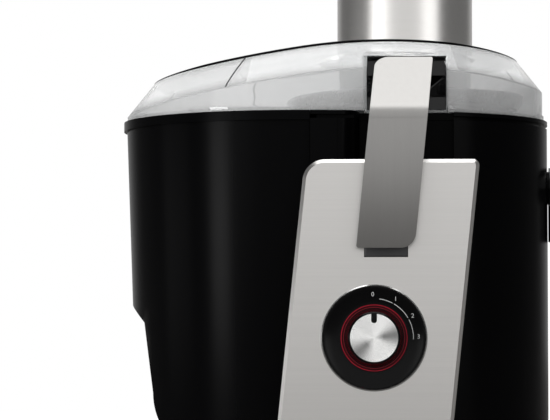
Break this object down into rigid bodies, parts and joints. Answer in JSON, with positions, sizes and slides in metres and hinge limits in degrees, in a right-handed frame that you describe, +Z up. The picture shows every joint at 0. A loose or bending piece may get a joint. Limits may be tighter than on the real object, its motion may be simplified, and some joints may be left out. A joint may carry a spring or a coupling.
{
  "type": "centrifugal juicer",
  "caption": "Centrifugal juicer: motor base with dial, clear lid with feed chute and pusher, spinning sieve basket, juice spout, pulp container and locking arms.",
  "frame": {"origin": "on the drive axis of the basket, in the plane the feet stand on", "axes": "+Z up along the drive axis, -Y the front with the dial, +X towards the juice spout"},
  "size_m": [0.305, 0.2726, 0.427],
  "materials": {
    "housing_black": "satin",
    "gloss_black": "gloss",
    "matte_black": "matte",
    "clear_plastic": "clear",
    "brushed_panel": "brushed",
    "bright_trim": "polished",
    "spun_cap": "spun",
    "red_light": "translucent",
    "smoke_plastic": "gloss",
    "rubber_black": "matte",
    "zinc_steel": "satin",
    "laminated_steel": "satin",
    "enamelled_wire": "enamelled",
    "commutator_metal": "machined",
    "carbon": "matte",
    "cast_alloy": "cast",
    "fan_plastic": "matte",
    "board_green": "solder mask",
    "sieve_steel": "perforated",
    "capacitor_yellow": "matte"
  },
  "bodies": {
    "base": {"base_housing": "housing_black", "base_plate": "matte_black", "rubber_feet": "rubber_black", "base_screws": "zinc_steel", "front_panel": "brushed_panel", "dial_bezel": "gloss_black", "dial_trim_ring": "bright_trim", "dial_light_ring": "red_light", "rotary_switch": "matte_black", "control_board": "board_green", "heat_sink": "cast_alloy", "suppression_capacitor": "capacitor_yellow", "thermal_cutout": "zinc_steel", "cord_gland": "rubber_black", "interlock_switch": "matte_black", "motor_stator": "laminated_steel", "motor_windings": "enamelled_wire", "motor_upper_bracket": "cast_alloy", "motor_lower_bracket": "cast_alloy", "upper_bearing": "zinc_steel", "lower_bearing": "zinc_steel", "brush_holders": "commutator_metal", "carbon_brushes": "carbon", "motor_screws": "zinc_steel", "motor_mount_bushes": "rubber_black", "mount_screws": "zinc_steel", "shaft_seal": "rubber_black", "juice_bowl": "housing_black", "bowl_seal": "rubber_black", "spout_seal": "rubber_black", "front_arm_bracket": "matte_black", "front_arm_pin": "zinc_steel", "rear_arm_bracket": "matte_black", "rear_arm_pin": "zinc_steel"},
    "rotor": {"motor_shaft": "zinc_steel", "armature_core": "laminated_steel", "armature_windings": "enamelled_wire", "commutator": "commutator_metal", "cooling_fan": "fan_plastic", "drive_coupling": "matte_black", "basket_frame": "sieve_steel", "basket_mesh": "sieve_steel", "grater_disc": "sieve_steel"},
    "lid": {"lid": "clear_plastic", "feed_chute": "clear_plastic", "tube_sleeve": "brushed_panel"},
    "pusher": {"pusher_body": "smoke_plastic", "pusher_cap": "gloss_black"},
    "container": {"pulp_container": "housing_black"},
    "spout": {"juice_spout": "gloss_black"},
    "knob": {"knob_body": "gloss_black", "knob_cap": "spun_cap", "switch_spindle": "zinc_steel"},
    "plunger": {"interlock_plunger": "matte_black"},
    "front_arm": {"front_arm_lever": "gloss_black", "front_arm_cover": "brushed_panel"},
    "rear_arm": {"rear_arm_lever": "gloss_black", "rear_arm_cover": "brushed_panel"}
  },
  "joints": [
    {"name": "lid_lift", "type": "slide", "parent": "base", "child": "lid", "axis": [0, 0, 1], "range_m": [0, 0.2]},
    {"name": "front_arm_swing", "type": "hinge", "parent": "base", "child": "front_arm", "pos_m": [-0.01335, -0.128, 0.1365], "axis": [1, 0, 0], "range_deg": [0, 85]},
    {"name": "rear_arm_swing", "type": "hinge", "parent": "base", "child": "rear_arm", "pos_m": [-0.01335, 0.128, 0.1365], "axis": [-1, 0, 0], "range_deg": [0, 85]},
    {"name": "plunger_travel", "type": "slide", "parent": "base", "child": "plunger", "axis": [0, -1, 0], "range_m": [0, 0.0021]},
    {"name": "pusher_slide", "type": "slide", "parent": "lid", "child": "pusher", "axis": [0, 0, 1], "range_m": [0, 0.19]},
    {"name": "rotor_spin", "type": "hinge", "parent": "base", "child": "rotor", "pos_m": [0, 0, 0.1], "axis": [0, 0, 1], "continuous": true},
    {"name": "knob_turn", "type": "hinge", "parent": "base", "child": "knob", "pos_m": [-0.0209, -0.12, 0.076], "axis": [0, 1, 0], "range_deg": [0, 90]},
    {"name": "spout_turn", "type": "hinge", "parent": "base", "child": "spout", "pos_m": [0.1, 0, 0.176], "axis": [1, 0, 0], "range_deg": [0, 120]},
    {"name": "container_slide", "type": "slide", "parent": "base", "child": "container", "axis": [-1, 0, 0], "range_m": [0, 0.22]}
  ],
  "couplings": [
    {"joint": "front_arm_swing", "follows": "lid_lift", "rad_per_m": 7.4169},
    {"joint": "rear_arm_swing", "follows": "lid_lift", "rad_per_m": 7.4169},
    {"joint": "plunger_travel", "follows": "lid_lift", "ratio": 0.01}
  ]
}
